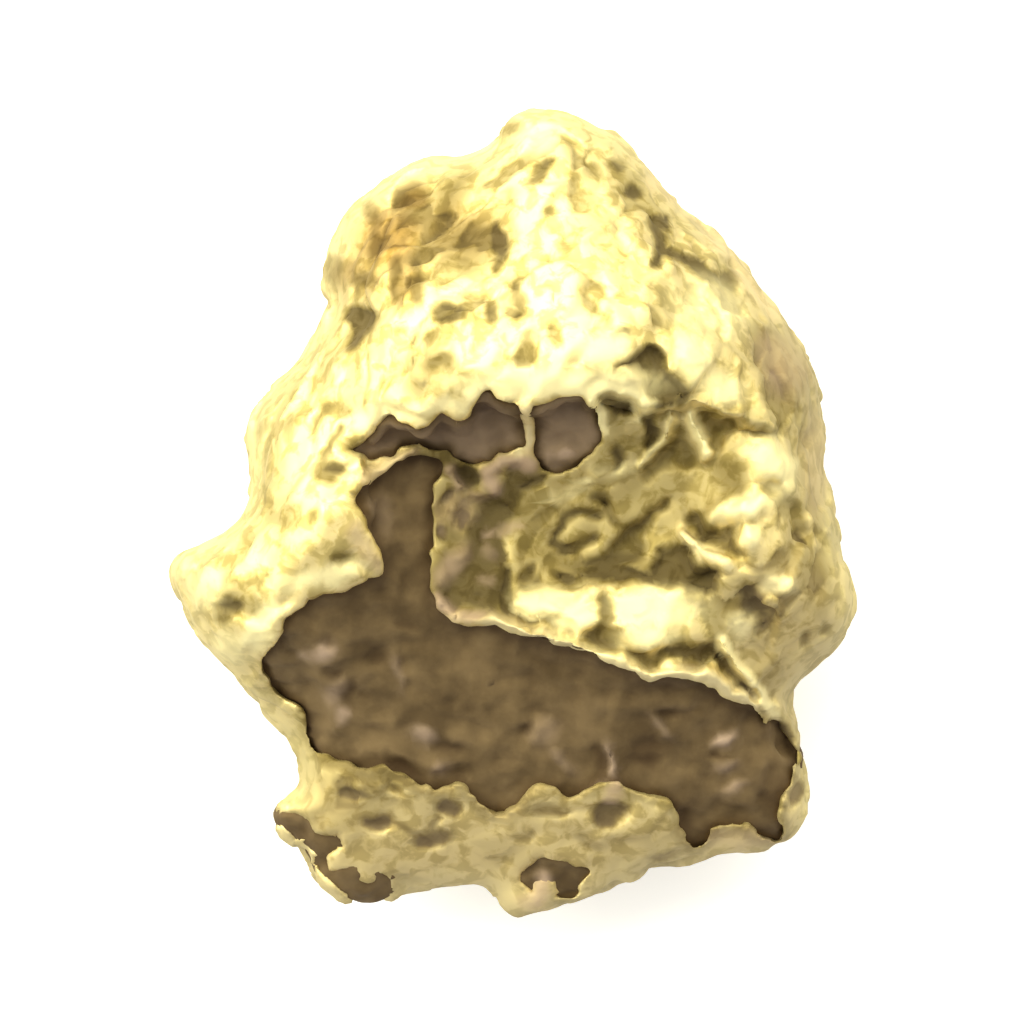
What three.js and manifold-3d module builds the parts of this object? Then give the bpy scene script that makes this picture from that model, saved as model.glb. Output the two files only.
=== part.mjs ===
// A natural gold nugget with brown ironstone grown into its front. Millimetres, +Z up.
// The nugget lies on its worn back, with the ironstone facing up and its crown towards +Y.
// The origin is on the surface that it rests on, under the middle of its box.
import * as THREE from "three";
import { mergeVertices } from "three/addons/utils/BufferGeometryUtils.js";
import Module from "manifold-3d";

const wasm = await Module();
wasm.setup();

// Driving dimensions.
const RIM_HEIGHT = 4.0; // mean height of the widest line of the nugget above the surface
const FRONT_ROUND = 4.0; // how far in from that line the front is still rounding over
const BACK_ROUND = 7.5; // the same for the back, which is rounder
const FRONT_HEIGHT = 4.1; // mean height of the front above the widest line
const BROW_Y = 3.0; // where the front is highest
const FRONT_FALL = 0.3; // height lost for each millimetre from there to the foot
const CROWN_FALL = 0.2; // the same from there to the crown
const CREST = 1.0; // how gently the one slope turns into the other
const BACK_DEPTH = 4.5; // mean depth of the back below the widest line, before it was worn flat
const STONE_SUNK = 0.8; // how far the ironstone lies under the gold around it
const GAP = 0.3; // clearance left between the gold and the ironstone in it
const MIDDLE = new THREE.Vector3(0, -4, 0); // a point that sees every point of the widest line

// How finely the skin is divided.
const SKIN_DETAIL = 17; // cuts along each edge of the icosahedron that the lump is drawn from
const WALL_STEP = 0.55; // length of a facet of a pocket's wall

// The widest line, anticlockwise from the middle of the right side.
const OUTLINE = [
  [7.8, 1.2], [7.7, 2.6], [7.4, 3.7], [6.6, 5.0], [5.6, 6.3], [4.2, 7.7], [3.1, 8.9], [2.3, 9.5],
  [1.5, 9.88], [0.6, 10.0], [-0.2, 9.72], [-0.6, 9.1], [-1.4, 8.78], [-2.5, 8.7], [-3.6, 8.0],
  [-4.2, 7.4], [-4.6, 6.4], [-4.75, 5.7], [-4.7, 5.1], [-5.2, 4.0], [-6.0, 3.1], [-6.5, 2.3],
  [-6.6, 0.4], [-7.1, -0.4], [-8.1, -1.0], [-8.4, -1.5], [-8.1, -2.4], [-7.3, -3.6], [-6.3, -4.8],
  [-5.4, -5.8], [-5.3, -6.9], [-5.9, -7.4], [-5.85, -7.8], [-5.15, -8.45], [-4.65, -9.4],
  [-3.55, -9.8], [-2.7, -9.45], [-1.5, -9.33], [-0.5, -9.45], [0.0, -9.93], [0.6, -10.0],
  [1.8, -9.7], [2.8, -9.15], [4.2, -8.72], [6.5, -8.4], [7.25, -7.75], [7.4, -6.7], [7.15, -5.5],
  [6.9, -4.7], [7.4, -3.8], [8.2, -2.9], [8.4, -2.0], [8.2, -0.6], [7.9, 0.4],
];

// Swellings (+) and hollows (-) of the front: place, half widths, turn in degrees, and height.
const FRONT_SWELLINGS = [
  { at: [1.6, 3.6], half: [4.4, 3.2], turn: 0, rise: 1.7 }, // crown
  { at: [-3.4, 4.8], half: [1.9, 2.2], turn: 30, rise: 0.9 }, // left shoulder
  { at: [-1.6, 7.2], half: [0.8, 1.8], turn: 20, rise: -0.5 }, // valley between them
  { at: [-5.0, -0.4], half: [1.8, 2.0], turn: 20, rise: 1.3 }, // left lobe
  { at: [6.2, 0.2], half: [1.5, 2.4], turn: 0, rise: 1.1 }, // right flank
  { at: [2.6, -3.1], half: [3.4, 0.9], turn: -12, rise: 0.55 }, // bank that ends in the lip
  { at: [6.6, -7.0], half: [1.2, 1.3], turn: 0, rise: 0.6 }, // right foot
];

// The sheltered hollow under the brow of the crown: it is deepest near the brow, which is steep.
const HOLLOW = { at: [1.4, 1.2], half: [4.7, 3.0], depth: 1.5 };
const BROW = { foot: 2.1, top: 2.8 };

// Swellings of the back, where a rise is a bulge towards the surface.
const BACK_SWELLINGS = [
  { at: [0.8, 4.8], half: [2.8, 2.2], turn: 0, rise: 0.9 },
  { at: [-2.8, -2.6], half: [2.2, 2.0], turn: 20, rise: 0.8 },
  { at: [3.8, -3.2], half: [2.0, 2.2], turn: 0, rise: 0.9 },
  { at: [-5.2, 3.4], half: [1.8, 1.6], turn: 0, rise: -1.1 },
  { at: [6.4, 1.8], half: [1.4, 2.0], turn: 0, rise: -0.7 },
  { at: [0.9, -7.0], half: [2.4, 1.4], turn: 0, rise: -0.8 },
  { at: [0.4, 0.6], half: [1.8, 1.0], turn: 30, rise: -0.8 },
];

// How the widest line itself rises and falls on its way round.
const RIM_SWELLINGS = [
  { at: [-7.6, -1.4], half: [2.4, 2.4], turn: 0, rise: 0.9 },
  { at: [-4.6, 6.0], half: [2.2, 3.0], turn: 0, rise: -0.6 },
  { at: [1.4, 9.6], half: [3.0, 2.4], turn: 0, rise: 0.7 },
  { at: [7.4, 2.6], half: [2.4, 2.6], turn: 0, rise: -0.6 },
  { at: [8.2, -2.4], half: [2.0, 2.0], turn: 0, rise: 0.8 },
  { at: [6.6, -8.0], half: [2.4, 2.0], turn: 0, rise: -0.4 },
  { at: [-0.6, -9.6], half: [3.0, 2.0], turn: 0, rise: -0.7 },
];

// The pockets that hold ironstone: mouth, anticlockwise, and the height of the pocket's floor.
const POCKETS = {
  ironstone_matrix: {
    floor: 3.2,
    mouth: [
      [2.3, 1.6], [2.0, 2.7], [0.6, 2.6], [-1.5, 2.4], [-3.4, 1.9], [-3.9, 0.7], [-3.2, -1.0],
      [-3.4, -1.6], [-5.0, -2.1], [-5.9, -3.0], [-6.1, -3.8], [-5.2, -5.3], [-4.3, -6.3],
      [-2.2, -6.5], [-0.2, -7.4], [0.8, -6.8], [2.1, -6.8], [2.5, -5.9], [3.0, -7.0], [4.4, -8.0],
      [6.2, -7.8], [6.7, -6.8], [6.9, -6.0], [6.2, -5.1], [4.8, -4.2], [3.2, -4.2], [0.8, -3.2],
      [-1.7, -2.4], [-2.0, -1.5], [-1.9, 0.6], [-0.4, 1.4],
    ],
  },
  ironstone_ridge: {
    floor: 2.4,
    mouth: [
      [-4.9, -7.2], [-5.6, -6.7], [-6.8, -6.9], [-7.0, -8.4], [-5.8, -10.2], [-4.2, -10.8],
      [-3.0, -10.3], [-3.1, -9.4], [-4.1, -8.8],
    ],
  },
  ironstone_plug: {
    floor: 2.6,
    mouth: [[1.9, -9.0], [1.6, -8.5], [0.9, -8.3], [0.3, -8.6], [0.2, -9.2], [0.6, -9.6], [1.3, -9.55]],
  },
};

// A smooth closed curve through [x, y] points, and evenly spaced points round it.
function closedCurve(points) {
  const curve = new THREE.CatmullRomCurve3(points.map(([x, y]) => new THREE.Vector3(x, y, 0)), true);
  curve.arcLengthDivisions = 40 * points.length;
  return curve;
}

function spaced(curve, steps) {
  return curve.getSpacedPoints(steps).slice(0, steps);
}

const widestLine = closedCurve(OUTLINE);

// A distance in from the widest line that has no creases: each bit of the line counts by the cube of
// its nearness, which is the plain distance close to a straight edge and levels off in the middle.
const edgeSamples = spaced(widestLine, 900);
const sampleLength = widestLine.getLength() / edgeSamples.length;

function distanceIn(x, y) {
  let nearness = 0;
  let nearest = Infinity;
  for (const sample of edgeSamples) {
    const away = Math.hypot(x - sample.x, y - sample.y);
    nearest = Math.min(nearest, away);
    nearness += sampleLength / (2 * Math.max(away, sampleLength / 2) ** 3);
  }
  const levelled = 1 / Math.sqrt(nearness);
  return THREE.MathUtils.lerp(nearest, levelled, THREE.MathUtils.smoothstep(nearest, 0.1, 0.6));
}

// The height that a list of swellings adds at a place.
function swell(list, x, y) {
  let height = 0;
  for (const { at, half, turn, rise } of list) {
    const along = new THREE.Vector2(x - at[0], y - at[1]);
    along.rotateAround(new THREE.Vector2(), -THREE.MathUtils.degToRad(turn));
    height += rise * Math.exp(-((along.x / half[0]) ** 2) - (along.y / half[1]) ** 2);
  }
  return height;
}

// How far a side has come up from the widest line, from 0 at the line to 1 in the middle.
function dome(x, y, round) {
  const share = Math.min(distanceIn(x, y) / round, 1);
  return Math.sqrt(1 - (1 - share) ** 2);
}

function rimHeight(x, y) {
  return RIM_HEIGHT + swell(RIM_SWELLINGS, x, y);
}

function hollowDepth(x, y) {
  const { at, half, depth } = HOLLOW;
  const outward = ((x - at[0]) / half[0]) ** 2 + ((y - at[1]) / half[1]) ** 2;
  return depth * Math.exp(-(outward ** 2)) * (1 - THREE.MathUtils.smoothstep(y, BROW.foot, BROW.top));
}

// The front slopes two ways from its highest line, which runs across it at BROW_Y.
function frontHeight(x, y, sunk) {
  const beyond = (y - BROW_Y + Math.hypot(y - BROW_Y, CREST)) / 2;
  const slope = FRONT_HEIGHT + FRONT_FALL * y - (FRONT_FALL + CROWN_FALL) * beyond;
  const rise = slope + swell(FRONT_SWELLINGS, x, y) - hollowDepth(x, y) - sunk;
  return rimHeight(x, y) + rise * dome(x, y, FRONT_ROUND);
}

function backHeight(x, y) {
  const depth = BACK_DEPTH + swell(BACK_SWELLINGS, x, y);
  return rimHeight(x, y) - depth * dome(x, y, BACK_ROUND);
}

// The whole lump: a ball whose equator is drawn out to the widest line, and whose two halves take
// the heights of the front and the back. The front can be sunk, for the ironstone's own surface.
function lumpGeometry(sunk) {
  const ball = bareGeometry(new THREE.IcosahedronGeometry(1, SKIN_DETAIL));
  const position = ball.getAttribute("position");
  const unit = new THREE.Vector3();
  for (let i = 0; i < position.count; i++) {
    unit.fromBufferAttribute(position, i);
    const turn = Math.atan2(unit.y, unit.x) / (2 * Math.PI);
    const edge = widestLine.getPointAt((turn + 1) % 1);
    const { x, y } = MIDDLE.clone().lerp(edge, Math.min(Math.hypot(unit.x, unit.y), 0.99999));
    position.setXYZ(i, x, y, unit.z > 0 ? frontHeight(x, y, sunk) : backHeight(x, y));
  }
  return ball;
}

// A pocket's space: its mouth drawn in by an inset, from the floor (raised by the same) upwards.
function pocketGeometry({ mouth, floor }, inset) {
  const edge = closedCurve(mouth);
  const wall = spaced(edge, Math.round(edge.getLength() / WALL_STEP));
  const drawnIn = wall.map((point, i) => {
    const before = wall[(i + wall.length - 1) % wall.length];
    const after = wall[(i + 1) % wall.length];
    const inward = new THREE.Vector2(before.y - after.y, after.x - before.x).normalize();
    return new THREE.Vector2(point.x, point.y).addScaledVector(inward, inset);
  });
  const shape = new THREE.Shape(drawnIn);
  return new THREE.ExtrudeGeometry(shape, { depth: 20, bevelEnabled: false }).translate(0, 0, floor + inset);
}

// A geometry's positions alone, with the vertices that its faces share merged.
function bareGeometry(geometry) {
  const bare = new THREE.BufferGeometry().setAttribute("position", geometry.getAttribute("position").clone());
  if (geometry.index) bare.setIndex(geometry.index.clone());
  return mergeVertices(bare, 1e-5);
}

// A closed geometry as a manifold-3d solid, and back.
function solidOf(geometry) {
  const bare = bareGeometry(geometry);
  const vertProperties = bare.getAttribute("position").array;
  const triVerts = new Uint32Array(bare.index.array);
  return new wasm.Manifold(new wasm.Mesh({ numProp: 3, vertProperties, triVerts }));
}

function geometryOf(solid) {
  const { vertProperties, triVerts } = solid.getMesh();
  const geometry = new THREE.BufferGeometry();
  geometry.setAttribute("position", new THREE.BufferAttribute(vertProperties, 3));
  geometry.setIndex(new THREE.BufferAttribute(triVerts, 1));
  geometry.computeVertexNormals();
  return geometry;
}

// The part of a solid that lies above the surface, which leaves its back worn flat.
function wornFlat(solid) {
  const ground = new THREE.BoxGeometry(60, 60, 20).translate(0, 0, -10);
  return solid.subtract(solidOf(ground));
}

const gold = new THREE.MeshStandardMaterial({ color: 0xe8c76a, roughness: 0.35, metalness: 1 });
const ironstone = new THREE.MeshStandardMaterial({ color: 0x6b5238, roughness: 0.85, metalness: 0 });

const nugget = new THREE.Group();

function addPiece(name, solid, material) {
  const mesh = new THREE.Mesh(geometryOf(solid), material);
  mesh.name = name;
  nugget.add(mesh);
}

let goldBody = solidOf(lumpGeometry(0));
for (const pocket of Object.values(POCKETS)) goldBody = goldBody.subtract(solidOf(pocketGeometry(pocket, 0)));
addPiece("gold_nugget", wornFlat(goldBody), gold);

const stoneLump = solidOf(lumpGeometry(STONE_SUNK));
for (const [name, pocket] of Object.entries(POCKETS)) {
  addPiece(name, stoneLump.intersect(solidOf(pocketGeometry(pocket, GAP))), ironstone);
}

export default nugget;
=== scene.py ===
"""A natural gold nugget with ironstone grown into its front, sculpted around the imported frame."""

import itertools
import math

import bpy
import numpy as np
import openvdb
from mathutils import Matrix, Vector


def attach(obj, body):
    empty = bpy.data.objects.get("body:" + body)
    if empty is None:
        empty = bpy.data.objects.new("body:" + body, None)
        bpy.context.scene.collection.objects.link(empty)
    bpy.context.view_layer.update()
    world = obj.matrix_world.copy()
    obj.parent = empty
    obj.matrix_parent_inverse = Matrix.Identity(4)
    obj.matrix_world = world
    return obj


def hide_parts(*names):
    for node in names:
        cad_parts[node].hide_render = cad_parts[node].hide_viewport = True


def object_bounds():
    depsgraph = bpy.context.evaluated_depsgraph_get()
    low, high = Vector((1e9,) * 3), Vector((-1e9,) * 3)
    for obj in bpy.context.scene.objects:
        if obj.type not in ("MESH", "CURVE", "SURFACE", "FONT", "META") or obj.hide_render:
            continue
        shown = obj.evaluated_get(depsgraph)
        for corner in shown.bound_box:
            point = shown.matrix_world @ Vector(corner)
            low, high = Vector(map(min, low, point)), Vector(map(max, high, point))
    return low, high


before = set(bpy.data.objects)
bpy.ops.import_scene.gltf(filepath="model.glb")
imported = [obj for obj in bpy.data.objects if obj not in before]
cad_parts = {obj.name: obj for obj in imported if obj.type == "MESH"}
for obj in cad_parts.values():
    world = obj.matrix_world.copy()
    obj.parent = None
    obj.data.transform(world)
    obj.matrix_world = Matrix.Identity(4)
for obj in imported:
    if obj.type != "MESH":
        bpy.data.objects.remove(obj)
cad_low, cad_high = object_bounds()

# ---------- Sizes and places ----------
# All are in nugget millimetres, in the frame's own axes, and MM turns them into metres: the nugget is
# LENGTH of them long, as packed.
LENGTH = 20.0
MM = (cad_high.y - cad_low.y) / LENGTH
CENTRE = ((cad_high.x + cad_low.x) / 2, (cad_high.y + cad_low.y) / 2, cad_low.z)

VOXEL = 0.075  # spacing of the grid that the shapes are cut on
BAND = 4 * VOXEL  # how far from a surface its distance field is kept
GRID_LOW = (-8.85, -10.5, -0.3)
GRID_HIGH = (8.85, 10.5, 11.7)
RIM_HEIGHT = 4.0  # of the widest line over the surface it rests on
FRONT_ROUND = 4.0  # how far in from that line the front still rounds over
BACK_ROUND = 7.5  # the same for the back
FRONT_HEIGHT = 4.1  # of the front over the widest line
FRONT_FALL = 0.3  # fall of the front from the brow to the foot, for each millimetre
CROWN_FALL = 0.2  # the same from the brow to the crown
BROW_Y = 3.0  # where the front is highest
CREST = 1.0  # how gently the one slope turns into the other
BACK_DEPTH = 4.5  # of the back under the widest line
LEAST_RISE = 0.5  # of the front anywhere
LEAST_SLOPE = 1e-3  # keeps a division from failing
RIM_BLEND = (0.1, 0.6)  # where the distance from the rim goes from true to creaseless
OUTLINE_SPANS = 16  # points for each span of the widest line
STONE_OVERLAP = 0.15  # how far the ironstone reaches into the gold round it
GOLD_FACES = 190000  # triangles
STONE_FACES = 60000

# The widest line, anticlockwise from the middle of the right side.
OUTLINE = [
    (7.8, 1.2), (7.7, 2.6), (7.4, 3.7), (6.6, 5), (5.6, 6.3), (4.2, 7.7), (3.1, 8.9), (2.3, 9.5),
    (1.5, 9.88), (0.6, 10), (-0.2, 9.72), (-0.6, 9.1), (-1.4, 8.78), (-2.5, 8.7), (-3.6, 8),
    (-4.2, 7.4), (-4.6, 6.4), (-4.75, 5.7), (-4.7, 5.1), (-5.2, 4), (-6, 3.1), (-6.5, 2.3),
    (-6.6, 0.4), (-7.1, -0.4), (-8.1, -1), (-8.4, -1.5), (-8.1, -2.4), (-7.3, -3.6), (-6.3, -4.8),
    (-5.4, -5.8), (-5.3, -6.9), (-5.9, -7.4), (-5.85, -7.8), (-5.15, -8.45), (-4.65, -9.4),
    (-3.55, -9.8), (-2.7, -9.45), (-1.5, -9.33), (-0.5, -9.45), (0, -9.93), (0.6, -10),
    (1.8, -9.7), (2.8, -9.15), (4.2, -8.72), (6.5, -8.4), (7.25, -7.75), (7.4, -6.7), (7.15, -5.5),
    (6.9, -4.7), (7.4, -3.8), (8.2, -2.9), (8.4, -2), (8.2, -0.6), (7.9, 0.4),
]

# Swellings of the front, of the back and of the widest line: place, half widths, turn, rise.
FRONT_SWELLINGS = [
    (1.6, 3.6, 4.4, 3.2, 0, 1.7),  # crown
    (-3.4, 4.8, 1.9, 2.2, 30, 0.9),  # left shoulder
    (-1.6, 7.2, 0.8, 1.8, 20, -0.5),  # valley between them
    (-5, -0.4, 1.8, 2, 20, 1.3),  # left lobe
    (6.2, 0.2, 1.5, 2.4, 0, 1.1),  # right flank
    (2.6, -3.1, 3.4, 0.9, -12, 0.55),  # bank that ends in the lip
    (6.6, -7, 1.2, 1.3, 0, 0.6),  # right foot
]
BACK_SWELLINGS = [
    (0.8, 4.8, 2.8, 2.2, 0, 0.9),
    (-2.8, -2.6, 2.2, 2, 20, 0.8),
    (3.8, -3.2, 2, 2.2, 0, 0.9),
    (-5.2, 3.4, 1.8, 1.6, 0, -1.1),
    (6.4, 1.8, 1.4, 2, 0, -0.7),
    (0.9, -7, 2.4, 1.4, 0, -0.8),
    (0.4, 0.6, 1.8, 1, 30, -0.8),
]
RIM_SWELLINGS = [
    (-7.6, -1.4, 2.4, 2.4, 0, 0.9),
    (-4.6, 6, 2.2, 3, 0, -0.6),
    (1.4, 9.6, 3, 2.4, 0, 0.7),
    (7.4, 2.6, 2.4, 2.6, 0, -0.6),
    (8.2, -2.4, 2, 2, 0, 0.8),
    (6.6, -8, 2.4, 2, 0, -0.4),
    (-0.6, -9.6, 3, 2, 0, -0.7),
]

# The brow of the crown: a ragged edge from left to right, under which the front falls away.
BROW = [
    (-3.7, 1.45), (-3.3, 1.95), (-3, 2.2), (-2.7, 2.1), (-2.3, 2), (-2, 2.05), (-1.75, 2.3),
    (-1.45, 2.2), (-1.2, 2), (-1.1, 2.4), (-0.75, 2.75), (-0.4, 2.6), (0, 2.4), (0.3, 2.3),
    (0.6, 2.4), (1, 2.55), (1.4, 2.8), (1.75, 2.75), (1.95, 2.5), (2.15, 2.72), (2.9, 2.72),
    (3.35, 2.5), (4.2, 2.6), (4.6, 2.5), (5.2, 2.35), (5.6, 2.2), (6.2, 2.1), (7.6, 1.6),
    (7.4, -3), (1, -5), (-3, -1.6), (-3.4, 0.4),
]
# The sheltered hollow under it: place, half widths, depth.
HOLLOW = (1.4, 1.2, 4.7, 3.0, 1.5)
HOLLOW_SQUARE = 4  # the power that squares off its floor
BROW_WALL = (-0.05, 0.2)  # where the fall under the brow starts and ends, in from its edge

# Where the skin's relief is calmer: place, half widths, turn, share lost.
CALM_PATCHES = [
    (-1, -8.3, 4.8, 1.9, 0, 0.7),  # apron
    (4.6, -8.1, 2.8, 0.8, 10, 0.6),
    (1.4, 0.4, 4.8, 2.4, 0, 0.5),  # hollow
    (2.4, -2.5, 3.2, 0.7, -8, 0.6),  # bank and lip
    (3, -3.9, 3.6, 0.5, -16, 0.7),
    (-5.4, -0.9, 3, 2.8, 20, 0.5),  # left lobe
    (1.8, 6.4, 3.8, 3.2, 0, 0.25),  # crown
]
LIP_CALM, LIP_WIDTH = 0.65, 0.5  # the share lost at the edge of a pocket, and how far out from it
RIM_CALM, RIM_WIDTH = 0.6, 1.4  # the same at the widest line
RESTING_LEVELS = (0.02, 0.9)  # all is lost under the first height, and none over the second
RIM_WEAR, RIM_WEAR_WIDTH = 0.4, 0.8  # how worn the gold is at the widest line, and how far in

# The mouth of the main pocket, anticlockwise from the top of its neck, and of its two parts
# under the brow.
MATRIX_EDGE = [
    (-1.8, 1.3), (-2.3, 1.3), (-2.7, 1.15), (-3.1, 1), (-3.5, 0.8), (-3.8, 0.45), (-3.65, 0),
    (-3.45, -0.5), (-3.2, -1), (-3.1, -1.35), (-3.3, -1.6), (-4.3, -1.9), (-5, -2.2), (-5.45, -2.55),
    (-5.75, -3), (-6.15, -3.65), (-5.95, -4.2), (-5.6, -4.6), (-5.2, -5.05), (-5.1, -5.5),
    (-4.8, -5.9), (-4.3, -6.2), (-3.6, -6.35), (-3.1, -6.3), (-2.6, -6.5), (-1.95, -6.8),
    (-1.4, -6.7), (-1, -7), (-0.5, -7.35), (-0.1, -7.45), (0.2, -7.25), (0.5, -6.95),
    (0.95, -6.8), (1.4, -6.95), (1.9, -6.85), (2.2, -6.65), (2.6, -6.7), (2.95, -6.95),
    (3.4, -7), (3.9, -7.15), (4.1, -7.5), (4.1, -8), (4.4, -8.3), (4.75, -8.2), (5.1, -7.85),
    (5.75, -7.75), (6.2, -8.05), (6.6, -8.15),
    (6.75, -7.85), (6.6, -7.4), (6.75, -6.9), (7, -6.35), (7.1, -6), (6.95, -5.65), (6.7, -5.2),
    (6.5, -5.15), (6.25, -5.3), (5.9, -4.85), (5.6, -4.75), (5.1, -4.45), (4.7, -4.15), (4.1, -4.1),
    (3.2, -4.15), (2.8, -3.85), (2.2, -3.52), (1.3, -3.3), (0.8, -3.15), (0, -3.05), (-0.5, -2.8),
    (-1.2, -2.7), (-1.6, -2.5), (-1.85, -2.15), (-2, -1.6), (-1.95, -1), (-2, 0),
    (-1.9, 0.6), (-1.65, 1),
]
ARM_EDGES = [
    [
        (-3.85, 1.45), (-3.5, 1.3), (-3, 1.35), (-2.6, 1.6), (-2.2, 1.6), (-1.8, 1.5), (-1.4, 1.4),
        (-1, 1.15), (-0.5, 1.35), (0, 1.5), (0.3, 1.6), (0.28, 1.95), (0.2, 2.35), (-0.3, 2.65),
        (-0.65, 2.9), (-0.95, 2.6), (-1.15, 2.2), (-1.35, 2.2), (-1.65, 2.45), (-1.9, 2.25),
        (-2.2, 2.15), (-2.6, 2.2), (-2.95, 2.35), (-3.3, 2.1), (-3.6, 1.75),
    ],
    [
        (0.5, 1.9), (0.55, 1.5), (0.75, 1.1), (1.1, 0.9), (1.6, 1.1), (2.05, 1.45), (2.2, 1.85),
        (2.1, 2.2), (1.9, 2.5), (1.65, 2.85), (1.3, 2.85), (0.9, 2.65), (0.5, 2.45),
    ],
]
CRUST_EDGE = [
    (-6.3, -7.7), (-6.1, -7.2), (-5.7, -7.35), (-5.3, -7.5), (-5, -7.7), (-4.85, -7.95),
    (-4.3, -7.95), (-4.25, -8.35), (-4.6, -8.6), (-4.45, -8.85), (-4, -8.75), (-3.7, -9.05),
    (-3.3, -9.15), (-3.1, -9.4), (-3.15, -9.8), (-3.3, -10.2), (-3.9, -10.2), (-4.15, -9.65),
    (-4.55, -9.25), (-4.9, -8.8), (-5, -8.3), (-5.6, -7.95),
]
PLUG_EDGE = [
    (0.2, -9.3), (0.2, -9), (0.5, -8.7), (0.9, -8.45), (1.3, -8.5), (1.6, -8.8), (1.85, -8.95),
    (1.75, -9.3), (1.55, -9.6), (1.05, -9.65), (1, -9.3), (0.8, -9.15), (0.6, -9.35), (0.45, -9.6),
]
# The height of each pocket's floor, how far its ironstone is sunk, and how dark the painted shade along the
# ironstone's edge is.
MATRIX_FLOOR, MATRIX_SUNK, MATRIX_DARK = 3.2, 0.3, 0.7
CRUST_FLOOR, CRUST_SUNK, CRUST_DARK = 3.2, 0.05, 0.2
PLUG_FLOOR, PLUG_SUNK, PLUG_DARK = 2.6, 0.15, 0.1
# How much less the two parts under the brow are sunk, and where that starts and is full.
ARMS_RISE = 0.2
ARMS_RISE_EDGE = (-0.2, 0.2)

# Sharp-edged hollows of the front: edge, depth, brownness.
CAVITIES = [
    ([(3, 3.85), (3.2, 4.05), (3.5, 4.05), (3.7, 3.8), (3.75, 3.4), (4.05, 3.1), (4.2, 2.75),
      (3.9, 2.5), (3.5, 2.5), (3.3, 2.75), (3.1, 3.1), (2.8, 3.4), (2.5, 3.45)], 0.35, 0.85),  # notch
    ([(2.05, 2.75), (2.95, 2.75), (2.95, 2.3), (2.3, 2.4)], 0.3, 0.6),
    ([(3.1, 2.45), (3.5, 2.45), (3.55, 2), (3.35, 1.5), (3.1, 1.5), (3.1, 2)], 0.25, 0.55),
    ([(4.15, 2.1), (4.4, 1.8), (4.55, 1.25), (4.35, 0.95), (3.7, 0.95), (3.3, 0.65), (3.15, 0.85),
      (3.6, 1.4), (3.95, 1.7)], 0.22, 0.2),
    ([(4.6, 2.5), (5, 2.4), (5.6, 2.2), (5.4, 1.9), (5.2, 1.6), (4.95, 1.3), (4.75, 1.5), (4.7, 1.9)],
     0.15, 0.08),
    ([(3.8, 0.35), (3.85, 0.1), (3.5, -0.2), (3.4, -0.7), (3.2, -1.2), (2.3, -1.35), (1.7, -1.4),
      (2.1, -0.95), (2.5, -0.6), (3, -0.15)], 0.28, 0.36),
    ([(1, -1.4), (1.7, -1.45), (2.4, -1.2), (3.3, -1.45), (3.6, -0.85), (4.3, -0.85), (4.6, -1.25),
      (5.1, -1.5), (4.95, -2), (4.2, -1.9), (3, -1.7), (1.9, -1.65), (1.2, -1.7)], 0.3, 0.62),
    ([(4.3, -0.2), (4.6, 0.1), (4.75, -0.25), (5.3, -0.45), (5.65, -0.1), (5.45, -0.6), (5.75, -1.05),
      (5.2, -0.95), (4.7, -0.75)], 0.3, 0.6),
    ([(-4.2, 4.8), (-3.8, 5.1), (-3.4, 4.95), (-3.2, 4.7), (-3.4, 4.35), (-4.1, 3.85), (-3.95, 4.4)],
     0.3, 1),
    ([(-2.95, 8.05), (-2.05, 8.05), (-2.15, 7.45), (-2.95, 7.5)], 0.12, 0.28),
]
CAVITY_WALL = (-0.08, 0.25)  # where a cavity's wall starts and ends, in from its edge

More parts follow.
